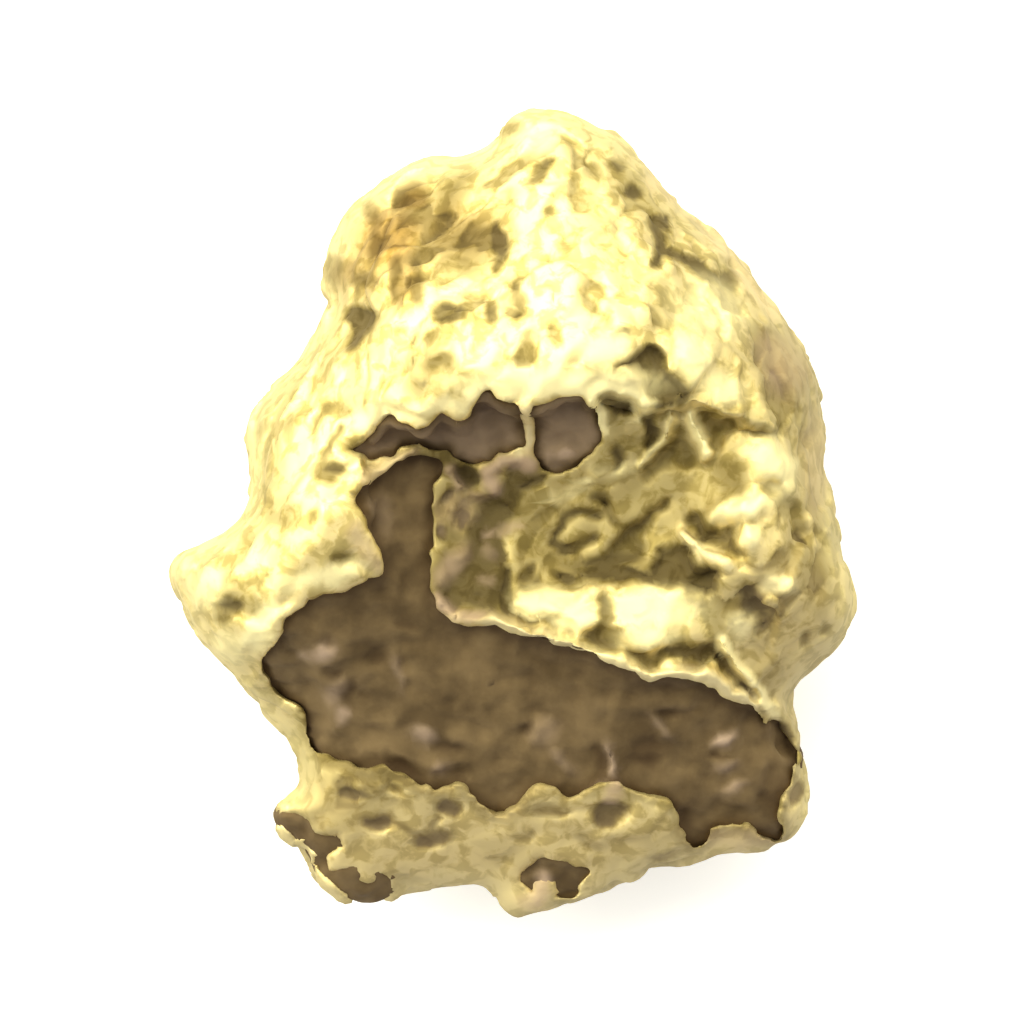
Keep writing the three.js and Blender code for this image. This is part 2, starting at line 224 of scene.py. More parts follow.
# Small hollows of the front: place, half widths, turn, depth, brownness.
PITS = [
    (2.6, 1.35, 0.16, 0.3, 0, 0.25, 0.5),  # sheltered hollow and beside the neck
    (2.15, 0.35, 0.3, 0.22, -30, 0.25, 0.5),
    (0.4, -1.6, 0.3, 0.28, 0, 0.25, 0.45),
    (-1.1, 0.85, 0.32, 0.28, 0, 0.4, 0.9),
    (-1.6, 0.35, 0.16, 0.1, 30, 0.12, 0.9),
    (-1.15, -0.15, 0.1, 0.22, -20, 0.12, 0.9),
    (-1.75, -0.5, 0.12, 0.18, 0, 0.12, 0.9),
    (-0.35, -1.2, 0.2, 0.12, 20, 0.15, 1),
    (-0.9, -2.05, 0.25, 0.12, -10, 0.15, 1),
    (-0.15, 0.1, 0.2, 0.1, 40, 0.12, 1),
    (0.55, 0.75, 0.3, 0.12, 30, 0.15, 0.9),
    (5.3, 2.55, 0.2, 0.12, 0, 0.15, 0.4),  # right end of the brow, and of the lip
    (6.78, -5.6, 0.3, 0.45, 20, 0.4, 0.8),
    (-3.85, -7, 0.42, 0.15, 0, 0.12, 0.5),  # apron
    (-3.35, -7.7, 0.4, 0.2, 5, 0.2, 0.8),
    (-1.6, -7.32, 0.3, 0.24, 0, 0.2, 0.8),
    (-2, -8.12, 0.5, 0.2, 5, 0.2, 0.8),
    (-2.9, -6.8, 0.2, 0.12, -30, 0.15, 0.2),
    (0.9, -7.38, 0.45, 0.17, 5, 0.12, 0.5),
    (2.45, -7.45, 0.5, 0.36, 20, 0.3, 0.85),
    (3.8, -8.55, 0.32, 0.13, 10, 0.15, 0.5),
    (2.4, -3.05, 0.5, 0.22, 0, 0.12, 0.7),  # bank
    (0.3, -8.1, 0.3, 0.2, 0, 0.12, 0.12),  # apron
    (-2.6, -9.2, 0.5, 0.15, 0, 0.1, 0.2),
    (1.9, -8.2, 0.4, 0.2, -20, 0.12, 0.12),
    (7.05, -7, 0.2, 0.35, 0, 0.3, 0.85),  # right foot
    (0, 9.55, 0.35, 0.15, 35, 0.1, 0.65),  # crown
    (0.72, 8.3, 0.45, 0.16, 40, 0.12, 0.72),
    (1.48, 8.15, 0.1, 0.45, -5, 0.06, 0.3),
    (2.62, 8.55, 0.22, 0.2, 0, 0.1, 0.55),
    (3, 7.85, 0.27, 0.17, 10, 0.1, 0.6),
    (0.95, 7.3, 0.2, 0.12, 0, 0.05, 0.25),
    (1.9, 4.9, 0.3, 0.12, -40, 0.06, 0.28),
    (1.05, 4.2, 0.16, 0.35, 20, 0.08, 0.32),
    (1.25, 6.55, 0.2, 0.14, 0, 0.05, 0.2),
    (5.35, 5.7, 0.2, 0.3, 0, 0.1, 0.7),
    (-0.3, 6.4, 0.17, 0.65, 0, 0.1, 0.7),
    (-1.5, 4.75, 0.42, 0.22, 0, 0.12, 0.7),  # left shoulder and valley
    (-0.55, 4.8, 0.13, 0.32, 0, 0.08, 0.58),
    (0.1, 5.1, 0.17, 0.5, 0, 0.08, 0.42),
    (-1.75, 3.65, 0.4, 0.2, 0, 0.06, 0.32),
    (-2.7, 4.35, 0.2, 0.12, 0, 0.05, 0.3),
    (-3.42, 6.55, 0.14, 0.45, 0, 0.08, 0.5),
    (-3.45, 7.35, 0.2, 0.3, 20, 0.08, 0.5),
    (-2.88, 5.7, 0.14, 0.6, 0, 0.08, 0.5),
    (-2.28, 5.5, 0.14, 0.6, 0, 0.08, 0.5),
    (-3.65, 5.65, 0.4, 0.14, 0, 0.08, 0.5),
    (-4.45, 6, 0.3, 0.35, 20, 0.08, 0.55),
    (-6.95, -2.4, 0.45, 0.22, 40, 0.1, 0.65),  # left lobe
    (-6.15, 2.05, 0.34, 0.17, 45, 0.08, 0.4),
    (-4.45, 0.95, 0.42, 0.24, 10, 0.1, 0.55),
    (-4.3, 2.45, 0.4, 0.22, 0, 0.06, 0.28),
    (-5.45, 2, 0.1, 0.4, 0, 0.05, 0.3),
    (-4.12, -1.1, 0.28, 0.22, 0, 0.1, 0.65),
    (-5.8, -0.2, 0.25, 0.25, 0, 0.04, 0.25),
    (-4.75, -0.12, 0.13, 0.2, 0, 0.04, 0.3),
    (-7.75, -1.05, 0.18, 0.12, 0, 0.04, 0.25),
    (7.25, -3.1, 0.15, 0.18, 0, 0.15, 0.4),  # right flank
    (7.75, -2.8, 0.15, 0.15, 0, 0.15, 0.4),
]
# Knobs of the front: place, half widths, turn, rise.
KNOBS = [
    (6.45, 1.15, 0.45, 0.8, 20, 0.55),  # right flank
    (5.6, 0.05, 0.8, 0.35, 20, 0.5),
    (5.85, -0.65, 0.33, 0.33, 0, 0.45),
    (6.5, -1.75, 0.35, 0.22, 0, 0.2),
    (5.6, -2.75, 0.4, 0.4, 0, 0.2),
    (7.95, -1.4, 0.3, 0.5, 0, 0.2),
    (2, 2.25, 0.16, 0.26, 25, 0.25),  # brow
    (-1.35, 0.1, 0.14, 0.2, 0, 0.12),  # beside the neck
    (-0.85, 0.35, 0.18, 0.14, 30, 0.15),
    (-0.6, -1, 0.12, 0.2, -30, 0.15),
    (-0.65, -1.65, 0.18, 0.14, 0, 0.15),
    (-1.3, -0.95, 0.3, 0.14, 25, 0.15),
    (-1.7, -1.5, 0.12, 0.3, 0, 0.12),
    (-5.6, -3, 1.9, 1.1, -30, 0.7),  # left lobe's lower edge
    (-7.3, -3.2, 1.1, 0.8, -40, 0.5),
]
# The powers that steepen the sides of pits, and the edges of patches, lines and the ironstone's marks.
PIT_SQUARE = 3
PATCH_POWER = 2
STROKE_POWER = 4
MARK_POWER = 1.5

# Where brownness starts and is full: in from a cavity's edge, in squared half widths of a pit, and in
# half widths of a groove.
CAVITY_STAIN = (-0.05, 0.1)
PIT_STAIN = (1.4, 0.6)
GROOVE_STAIN_AND_SHADE = (1.3, 0.7)
# The painted shade on the foot's edge against the ironstone: its brownness, where it starts out from
# the mouth of the pocket, and the Y over which it comes in.
FOOT_SHADE = 0.4
FOOT_SHADE_EDGE = (-0.3, -0.1)
FOOT_SHADE_Y = (-4.5, -5.5)

# Brown patches of the front, stains and painted shade: place, half widths, turn, strength.
STAINS_AND_SHADE = [
    (-0.55, -0.3, 0.45, 1.35, -38, 1),  # mottled gold beside the neck
    (-1.35, -0.7, 0.4, 0.16, 20, 0.7),
    (-1.35, -1.75, 0.35, 0.3, 50, 0.85),
    (-0.35, -1.5, 0.3, 0.8, 15, 0.95),
    (-0.9, -2.2, 0.6, 0.14, -15, 0.85),
    (-1.75, 0.1, 0.12, 0.5, 0, 0.6),
    (-0.8, -1.7, 0.75, 0.8, 0, 1),
    (-1.3, 0, 0.9, 1.1, 0, 0.5),
    (-1.75, 1.25, 0.7, 0.4, 0, 0.85),
    (0.2, 0.75, 0.8, 0.45, 30, 0.75),
    (0.5, -0.1, 0.9, 0.9, 0, 0.38),
    (0.7, -0.85, 0.9, 0.6, 0, 0.42),
    (-1.4, -0.6, 0.4, 0.3, 0, 0.8),
    (-1.55, -1.3, 0.45, 0.85, -30, 0.9),
    (2.8, 0.5, 3, 1.9, 0, 0.28),  # painted shade in the sheltered hollow under the brow
    (3, -1.4, 2.3, 0.4, -6, 0.5),
    (2.6, 2.3, 3.4, 0.5, 0, 0.22),
    (-1, -8.6, 5.8, 2.3, 0, 0.05),  # painted shade on the apron, which slopes away from the light
    (4.5, -8.6, 3, 1, 0, 0.12),
    (-4.4, -7, 1.4, 1.2, 0, 0.32),
    (-5.4, -6.2, 0.7, 0.8, 0, 0.3),
    (6.9, -3.6, 1.5, 3, 10, 0.1),  # painted shade along the right edge, which faces away from the light
    (7.6, 2.2, 1.2, 2.8, 0, 0.16),
    (7.5, -1.8, 0.4, 0.9, 0, 0.3),
    (6.7, 3.6, 0.8, 1, 30, 0.42),
    (-1.05, 6.45, 0.95, 0.65, 0, 0.38),  # painted shade in the valley
    (-1.45, 7.8, 0.4, 0.85, -20, 0.46),
    (-3.75, 1.55, 0.3, 0.25, 0, 0.6),  # painted shade at the left end of the brow
    (-1.8, 3.2, 0.8, 0.5, 0, 0.35),
    (5.3, 0.9, 0.45, 0.6, 0, 0.6),  # painted shade among the knobs of the right flank
    (6.9, -1.1, 0.5, 0.45, 0, 0.28),
    (6.2, 1.95, 0.5, 0.15, -10, 0.5),
    (1.4, -9.75, 0.6, 0.2, 0, 0.3),  # foot
    (4.5, 6, 0.35, 0.16, -30, 0.4),  # end of the crown's streak
]

# Pinkish patches, the same, and lines: points, half width, strength. Those along the right edge and on the
# apron are painted shade.
BLUSHES = [
    (-1.45, -1.25, 0.3, 0.65, -35, 0.5),
    (1.35, 1.4, 0.25, 0.22, 0, 0.9),
    # painted shade along the right edge, here and in the next line
    (6.7, 3.6, 0.8, 1, 30, 0.45),
    (7.5, 1.4, 0.4, 1.6, 0, 0.35),
    (-1.3, 0.1, 0.5, 0.5, 0, 0.35),
    (0.4, -9.75, 0.4, 0.3, 0, 0.6),
    (5.7, -8.15, 1.2, 0.3, 0, 0.5),
    # painted shade on the apron and along the right edge, here and in the next two lines
    (-1, -8.6, 5.8, 2.3, 0, 0.2),
    (4.5, -8.6, 3, 1, 0, 0.22),
    (6.9, -3.6, 1.5, 3, 10, 0.16),
    (6.95, -7.2, 0.35, 1.2, 0, 0.2),
]
BLUSH_LINES = [
    # painted shade along the crown's right edge
    ([(3.6, 8.3), (4.7, 7.3), (5.6, 6.2), (6.4, 5)], 0.3, 0.4),
    ([(-3.75, -0.4), (-3.5, -1.1), (-3.3, -1.3)], 0.2, 0.5),
    ([(0.35, 2.4), (0.35, 1.7), (0.45, 1.2)], 0.2, 0.4),
    ([(0.45, 1.2), (-0.3, 1.2), (-0.6, 1), (-0.45, 0.5)], 0.2, 0.9),
    ([(-0.65, -0.65), (-0.25, -0.45), (0.2, -0.25)], 0.1, 0.5),
    ([(-1.85, 0.2), (-1.75, -0.5)], 0.12, 0.3),
    ([(-0.95, 0.35), (-0.75, 0.35)], 0.14, 0.4),
    ([(-0.65, -0.95), (-0.55, -1.1)], 0.13, 0.3),
    ([(-0.7, -1.65), (-0.55, -1.65)], 0.13, 0.3),
    ([(-1.5, 1), (-1.35, 0.6)], 0.12, 0.6),
    ([(-3.6, 0.85), (-3.2, 1.1), (-2.4, 1.4)], 0.16, 0.5),
    ([(-1.8, -2.15), (-1.4, -2.5), (-0.9, -2.55)], 0.2, 0.7),
    ([(-0.9, -2.55), (0.9, -3.05), (3, -4), (4.7, -3.95), (6, -4.8)], 0.2, 0.3),
    ([(2.4, -7.1), (2.5, -6.5), (2.5, -5.8)], 0.2, 0.7),
    ([(0.7, -9.2), (0.65, -9.7)], 0.3, 0.8),
    ([(4.25, -0.6), (4.6, -0.95), (5.2, -1.25)], 0.16, 0.3),
]

# Painted highlights of the front, bright patches where the light falls: place, half widths, turn, strength,
# and lines, as above.
PAINTED_HIGHLIGHTS = [
    (6.45, 1.15, 0.5, 0.8, 20, 0.85),  # knobs
    (5.6, 0.1, 0.75, 0.3, 20, 1),
    (5.85, -0.65, 0.3, 0.3, 0, 0.9),
    (6.5, -1.75, 0.45, 0.25, 0, 0.8),
    (5.6, -2.8, 0.35, 0.4, 0, 0.8),
    (0.9, -2.1, 0.8, 0.3, 0, 0.7),  # bank
    (1.6, -2.2, 0.4, 0.4, 0, 0.65),
    (3.6, -2.3, 1.15, 0.45, 0, 0.7),
    (1.5, -2.6, 0.5, 0.3, 0, 0.8),
    (3.3, -3.05, 0.7, 0.25, 0, 0.8),
    (-6.3, -3.1, 0.5, 0.35, 20, 1),  # left lobe
    (-6.9, -3.4, 0.7, 0.5, -40, 0.7),
    (-4.6, -1.6, 1.1, 0.28, 15, 0.9),
    (-5.9, -2.5, 0.5, 0.3, 40, 0.9),
    (-7.6, -1.9, 0.6, 0.6, 0, 0.6),
    (4.8, 4.9, 1.1, 0.8, -20, 0.5),  # crown
    (5.1, 3, 0.6, 0.35, -20, 0.8),
    (1, 3.1, 2.3, 0.35, 0, 1),
    (2.2, 3.95, 0.7, 0.4, 20, 0.85),
    (4.4, 3.7, 0.45, 0.7, 20, 0.8),
    (0.6, 9.2, 0.6, 0.5, 0, 0.6),
]
PAINTED_HIGHLIGHT_LINES = [
    ([(-3.7, 2.1), (-3.2, 2.45), (-2.2, 2.45), (-1.5, 2.6), (-1.2, 2.5)], 0.2, 0.8),  # over the brow
    ([(-1, 2.85), (-0.6, 3.1), (0.2, 2.8), (1, 3), (2, 3), (2.9, 2.95), (3.3, 2.6)], 0.2, 0.9),
    ([(1.85, 2.8), (2.1, 2.35), (2.25, 2)], 0.13, 1),
    ([(3, 2.65), (3, 2.2)], 0.1, 0.7),
    ([(4.3, 2.35), (4.45, 2.05), (4.75, 1.4)], 0.16, 1),
    ([(3.95, 2.2), (3.75, 1.8), (3.1, 1.1)], 0.12, 0.5),
    ([(0.38, 2.5), (0.35, 1.7), (0.1, 1.3)], 0.12, 0.8),
    ([(1.1, 0.3), (2, 0.95), (3, 1.1)], 0.15, 0.5),
    ([(4.2, -0.6), (4.6, -0.95), (5.2, -1.3)], 0.14, 1),
    ([(-0.6, -2.7), (0, -2.85), (0.9, -3.1), (1.6, -3.35), (2.4, -3.55), (3, -4), (3.9, -4.05),
      (4.7, -4), (5.2, -4.35), (6, -4.85)], 0.16, 0.8),
    ([(5.1, -3.2), (5.7, -3.9), (6.2, -4.6), (6.6, -5)], 0.14, 0.9),
    ([(0.1, -2.3), (0.9, -2.35)], 0.15, 0.9),
]

# Ochre patches of the front: place, half widths, turn, strength.
OCHRES = [
    (-3, 6.7, 1, 1, 0, 0.95),
    (-2.5, 7.7, 0.5, 0.45, 0, 0.9),
    (-4.1, 5.95, 0.65, 0.45, 0, 0.7),
    (-2.6, 5.6, 0.5, 0.8, 0, 0.7),
    (-1.4, 6.9, 1.4, 0.9, 0, 0.55),
    (-3.4, 6, 0.9, 0.8, 0, 0.6),
]

# Tan knobs (+) and dark pits (-) of the ironstone: place, half widths, turn, height, strength.
STONE_MARKS = [
    (-4.6, -3.45, 0.24, 0.22, 0, 0.15, 0.9),
    (-5.05, -3.5, 0.2, 0.15, 0, 0.1, 0.4),
    (-4.4, -4.45, 0.25, 0.4, 0, 0.1, 0.4),
    (-4.2, -5, 0.18, 0.18, 0, 0.1, 0.7),
    (-2.2, -5.5, 0.32, 0.2, -30, 0.12, 0.6),
    (-1.8, -6.35, 0.25, 0.15, 0, 0.1, 0.4),
    (-2.8, -3.9, 0.12, 0.5, 10, 0.08, 0.25),
    (0.8, -5.4, 0.35, 0.3, 0, 0.1, 0.25),
    (1.3, -6.1, 0.15, 0.5, 40, 0.1, 0.25),
    (5.2, -5.65, 0.32, 0.14, 35, 0.18, 1),
    (5.3, -6.3, 0.3, 0.15, 0, 0.1, 0.35),
    (5.5, -6.85, 0.32, 0.13, 30, 0.12, 0.5),
    (3.7, -5.3, 0.4, 0.13, -45, 0.1, 0.3),
    (0.8, -9.25, 0.2, 0.25, -20, 0.2, 1),
    (-4.45, -3.9, 0.25, 0.15, 10, -0.12, 0.5),
    (-2.6, -2.75, 0.35, 0.13, 0, -0.1, 0.4),
    (-3.3, -3.5, 0.3, 0.2, 0, -0.1, 0.3),
    (-4.05, -4.4, 0.15, 0.3, 0, -0.1, 0.4),
    (-1.6, -5.9, 0.3, 0.18, 0, -0.12, 0.5),
    (-2.6, -6.3, 0.5, 0.18, -10, -0.12, 0.6),
    (3.4, -5.9, 0.5, 0.45, 0, -0.15, 0.6),
    (4.1, -4.9, 0.5, 0.15, 0, -0.1, 0.4),
    (5, -6.05, 0.3, 0.1, 0, -0.12, 0.6),
    (6.4, -6.8, 0.3, 0.6, 0, -0.12, 0.5),
    (0.4, -5.3, 0.2, 0.2, 0, -0.1, 0.3),
    (-3.2, 0, 0.3, 0.6, 10, 0.1, 0.2),
    (2.42, -6.2, 0.14, 0.5, 8, 0.12, 0.75),
    (2.2, -6.75, 0.3, 0.15, 40, 0.1, 0.6),
    (2.15, -6.15, 0.16, 0.3, 0, -0.1, 0.6),
    (1.35, 1.4, 0.25, 0.18, 20, 0.15, 0.9),
    (0.95, 1.35, 0.14, 0.14, 0, 0.1, 0.6),
    (4.4, -7.6, 0.25, 0.6, 0, -0.1, 0.4),
]

# Narrow ridges (+) and grooves (-): points, half width, height, brownness.
RIDGES = [
    ([(-1.8, -2.15), (-1.4, -2.5), (-0.9, -2.55), (0, -2.8), (0.9, -3.05), (1.6, -3.3),
      (2.4, -3.5), (3, -3.95), (3.9, -4), (4.7, -3.95), (5.2, -4.3), (6, -4.8)],
     0.15, 0.34, 0),  # lip
    ([(5.1, -3.3), (5.96, -4.3), (6.35, -4.85), (6.68, -4.8), (7.15, -5.8)], 0.15, 0.25, 0),
    # Painted shade: these three grooves beside the lip are browned where shade falls.
    ([(4.9, -3.4), (5.5, -4.05), (6, -4.6)], 0.14, -0.2, 0.6),
    ([(2.2, -3.1), (2.8, -3.25), (3.3, -3.6), (4, -3.45), (4.9, -3.4), (5.3, -3.85)], 0.18, -0.2, 0.55),
    ([(-0.15, -1.5), (-0.15, -2.4), (0.4, -2.5), (0.8, -2.5), (1.4, -2.85)], 0.13, -0.15, 0.65),
    ([(2.3, -2.2), (2.2, -2.9)], 0.16, -0.1, 0.8),
    ([(4.3, 2.35), (4.45, 2.05), (4.75, 1.4)], 0.15, 0.6, 0),
    ([(3.95, 2.2), (3.75, 1.8), (3.1, 1.1)], 0.12, 0.2, 0),
    ([(4.2, -0.6), (4.6, -0.95), (5.2, -1.3)], 0.12, 0.3, 0),
    ([(-4.5, 1.3), (-4.15, 1.95)], 0.12, -0.06, 0.6),
    ([(1.1, -0.5), (1.25, -0.1), (1.7, 0.05), (2.1, -0.15)], 0.13, -0.15, 0.55),
    ([(1.05, -0.75), (1.5, -0.85), (2, -0.65)], 0.13, -0.15, 0.55),
    ([(2.2, 0.2), (2.6, -0.3)], 0.13, -0.15, 0.4),
    ([(5.7, -1.9), (6.1, -2.6)], 0.2, -0.25, 0.4),
    ([(6, -2.05), (6.5, -2.45)], 0.14, 0.2, 0),
    ([(6.3, 0.6), (6.6, 0.2), (7, -0.05), (7.2, -0.6)], 0.2, -0.3, 0.35),
    ([(3.8, 7.1), (3.45, 7.1), (3.6, 6.6), (3.55, 6)], 0.17, -0.15, 0.95),  # crown streak
    ([(3.7, 6.45), (4.3, 6.2), (4.7, 5.85), (5.2, 5.6)], 0.16, -0.15, 0.95),
    ([(4.6, 4.6), (5.3, 4.1)], 0.15, -0.12, 0.1),
    ([(-1.1, 5.15), (-0.5, 5.1)], 0.12, -0.12, 0.2),
    ([(-3.8, 0.7), (-3.4, 1.05), (-2.9, 1.15), (-2.4, 1.4)], 0.13, 0.2, 0),  # rim of the neck
    ([(0.35, 2.1), (0.35, 1.7), (0.45, 1.2), (-0.3, 1.2), (-0.6, 1), (-0.45, 0.5)], 0.15, 0.15, 0),
    ([(-1.5, 1), (-1.35, 0.6)], 0.12, 0.2, 0),
    ([(0.2, 0.9), (-0.1, 0.4), (-0.7, -0.3), (-0.6, -0.9), (-1.2, -1.7), (-1.6, -2.1)],
     0.3, -0.15, 0.95),
    ([(-3.1, -7.75), (-2.7, -7.85), (-2.3, -8)], 0.09, -0.12, 0.35),
    ([(-2.15, -7.95), (-1.9, -7.65)], 0.09, -0.12, 0.3),
]


# ---------- The plan: maps over X and Y ----------
def axis_places(axis):
    """The grid's places along one axis."""
    steps = round((GRID_HIGH[axis] - GRID_LOW[axis]) / VOXEL)
    return GRID_LOW[axis] + VOXEL * np.arange(steps + 1)


PLAN_X, PLAN_Y = np.meshgrid(axis_places(0), axis_places(1), indexing="ij")
LEVELS = axis_places(2)


def closed_curve(points, per_span=10):
    """A smooth closed line through a list of places."""
    here = np.array(points, float)
    a, b, c, d = (np.roll(here, shift, 0)[:, None, :] for shift in (1, 0, -1, -2))
    t = (np.arange(per_span) / per_span)[None, :, None]
    curve = 2 * b + (c - a) * t + (2 * a - 5 * b + 4 * c - d) * t**2 + (3 * b - a - 3 * c + d) * t**3
    return curve.reshape(-1, 2) / 2


def distance_to(line, x, y):
    """How far each place of a map is from an open line of points."""
    nearest = np.full(x.shape, np.inf)
    for (ax, ay), (bx, by) in zip(line[:-1], line[1:]):
        dx, dy = bx - ax, by - ay
        t = np.clip(((x - ax) * dx + (y - ay) * dy) / (dx * dx + dy * dy), 0, 1)
        np.minimum(nearest, (x - ax - t * dx) ** 2 + (y - ay - t * dy) ** 2, out=nearest)
    return np.sqrt(nearest)


def depth_in(line, x, y):
    """How far each place is inside a closed line: negative outside it."""
    ring = np.vstack([line, line[:1]])
    inside = np.zeros(x.shape, bool)
    for (ax, ay), (bx, by) in zip(ring[:-1], ring[1:]):
        if ay != by:
            inside ^= ((ay > y) != (by > y)) & (x < (bx - ax) * (y - ay) / (by - ay) + ax)
    return np.where(inside, 1, -1) * distance_to(ring, x, y)


def smooth_step(value, start, end):
    """0 at the start and 1 at the end, with an easy rise between them."""
    t = np.clip((value - start) / (end - start), 0, 1)
    return t * t * (3 - 2 * t)


# ---------- Noise: everything random comes from one seeded table ----------
TABLE = 4096
SEED = 7
PRIMES = (73856093, 19349663, 83492791)  # what a cell's three numbers are mixed by
SEED_STEP = 7919
random = np.random.default_rng(SEED)
DIRECTIONS = random.normal(size=(TABLE, 3))
DIRECTIONS /= np.linalg.norm(DIRECTIONS, axis=1)[:, None]
CENTRES = random.uniform(size=(TABLE, 3))
TONES = random.uniform(size=TABLE)


def table_place(cell, seed):
    """Each cell's own entry in the table."""
    mixed = (cell[:, 0] * PRIMES[0]) ^ (cell[:, 1] * PRIMES[1]) ^ (cell[:, 2] * PRIMES[2])
    return ((mixed >> 3) ^ mixed ^ (seed * SEED_STEP)) % TABLE


def noise(points, size, seed):
    """Smooth noise, about -0.7 to 0.7, whose lumps are about size across."""
    scaled = points / size
    cell = np.floor(scaled).astype(np.int64)
    offset = scaled - cell
    fade = offset**3 * (offset * (offset * 6 - 15) + 10)
    total = np.zeros(len(points))
    for corner in itertools.product((0, 1), repeat=3):
        weight = np.prod(np.where(corner, fade, 1 - fade), axis=1)
        direction = DIRECTIONS[table_place(cell + corner, seed)]
        total += weight * np.sum(direction * (offset - corner), axis=1)
    return total


def cell_distance(points, size, seed):
    """Distance, as a share of size, from the nearest of centres scattered one to a cell."""
    scaled = points / size
    cell = np.floor(scaled).astype(np.int64)
    nearest = np.full(len(points), np.inf)
    for step in itertools.product((-1, 0, 1), repeat=3):
        here = cell + step
        centre = here + CENTRES[table_place(here, seed)]
        np.minimum(nearest, np.sum((scaled - centre) ** 2, axis=1), out=nearest)
    return np.sqrt(nearest)


def plan_noise(size, seed):
    """Noise as a plan map."""
    flat = np.stack([PLAN_X.ravel(), PLAN_Y.ravel(), np.zeros(PLAN_X.size)], axis=1)
    return noise(flat, size, seed).reshape(PLAN_X.shape)


# ---------- The lump ----------
# What makes the marks' edges ragged: how far they are pushed about, over what size, and the seeds for X
# and for Y.
WARPS = [(0.22, 0.9, (1, 3)), (0.14, 0.4, (2, 4)), (0.08, 0.22, (5, 6))]


def warped(places, axis):
    """A plan map of places along X (0) or Y (1), pushed about."""
    for far, size, seeds in WARPS:
        places = places + far * plan_noise(size, seeds[axis])
    return places


WARP_X = warped(PLAN_X, 0)
WARP_Y = warped(PLAN_Y, 1)


def oval(across, up, half_x, half_y, turn):
    """Squared distance from a middle, in half widths of a turned oval."""
    angle = math.radians(turn)
    u = (across * math.cos(angle) + up * math.sin(angle)) / half_x
    v = (up * math.cos(angle) - across * math.sin(angle)) / half_y
    return u * u + v * v


def ragged_oval(x, y, half_x, half_y, turn):
    """The same over the plan, for an oval at a place, once its edge is made ragged."""
    return oval(WARP_X - x, WARP_Y - y, half_x, half_y, turn)


def swell(swellings):
    """The height that a list of swellings adds over the plan."""
    total = np.zeros(PLAN_X.shape)
    for x, y, half_x, half_y, turn, rise in swellings:
        total += rise * np.exp(-oval(PLAN_X - x, PLAN_Y - y, half_x, half_y, turn))
    return total


def distance_in_from_rim():
    """Distance in from the widest line: true near it, creaseless further in, negative outside."""
    line = closed_curve(OUTLINE, OUTLINE_SPANS)
    plain = depth_in(line, PLAN_X, PLAN_Y)
    lengths = np.linalg.norm(np.roll(line, -1, 0) - line, axis=1)
    nearness = np.zeros(PLAN_X.shape)
    for (x, y), length in zip(line, lengths):
        away = np.sqrt((PLAN_X - x) ** 2 + (PLAN_Y - y) ** 2)
        nearness += length / (2 * np.maximum(away, length / 2) ** 3)
    share = smooth_step(plain, *RIM_BLEND)
    return plain * (1 - share) + share / np.sqrt(nearness)


def ragged_depth_in(edge):
    """How far each place of the plan is inside an edge, once the edge is made ragged."""
    return depth_in(closed_curve(edge), WARP_X, WARP_Y)


def carving():
    """How far the sculpted front lies below the plain lump, and how brown it is, from 0 to 1: stained, with
    painted shade in the grooves by the lip, on the foot's edge and in the patches so marked.
    """
    x, y, half_x, half_y, depth = HOLLOW
    bowl = np.exp(-oval(PLAN_X - x, PLAN_Y - y, half_x, half_y, 0) ** (HOLLOW_SQUARE / 2))
    carved = depth * bowl * smooth_step(ragged_depth_in(BROW), *BROW_WALL)
    # Painted shade on the foot's edge, against the ironstone.
    brown = FOOT_SHADE * smooth_step(MATRIX_MOUTH, *FOOT_SHADE_EDGE) * smooth_step(PLAN_Y, *FOOT_SHADE_Y)
    for edge, depth, stain in CAVITIES:
        inside = ragged_depth_in(edge)
        carved += depth * smooth_step(inside, *CAVITY_WALL)
        brown = np.maximum(brown, stain * smooth_step(inside, *CAVITY_STAIN))
    for *place, depth, stain in PITS:
        squared = ragged_oval(*place)
        carved += depth * np.exp(-(squared ** (PIT_SQUARE / 2)))
        brown = np.maximum(brown, stain * smooth_step(squared, *PIT_STAIN))
    for *place, rise in KNOBS:
        carved -= rise * np.exp(-ragged_oval(*place))
    for line, half_width, height, stain in RIDGES:
        widths = distance_to(line, WARP_X, WARP_Y) / half_width
        carved -= height * np.exp(-(widths**2))
        brown = np.maximum(brown, stain * smooth_step(widths, *GROOVE_STAIN_AND_SHADE))
    return carved, np.clip(brown + patches(STAINS_AND_SHADE), 0, 1)


def patches(ovals):
    """A plan map of ovals, each as strong as it says in its middle."""
    total = np.zeros(PLAN_X.shape)
    for *place, strength in ovals:
        total = np.maximum(total, strength * np.exp(-(ragged_oval(*place) ** PATCH_POWER)))
    return total


def stone_marks():
    """The height of the ironstone's marks, and how tan and how dark they make it."""
    height, tan, dark = (np.zeros(PLAN_X.shape) for _ in range(3))
    for *place, rise, strength in STONE_MARKS:
        mark = np.exp(-(ragged_oval(*place) ** MARK_POWER))
        height += rise * mark
        shade = tan if rise > 0 else dark
        np.maximum(shade, strength * mark, out=shade)
    return height, tan, dark


def strokes(lines):
    """A plan map of lines, each as strong as it says along its middle."""
    total = np.zeros(PLAN_X.shape)
    for line, half_width, strength in lines:
        away = distance_to(line, WARP_X, WARP_Y)
        total = np.maximum(total, strength * np.exp(-((away / half_width) ** STROKE_POWER)))
    return total


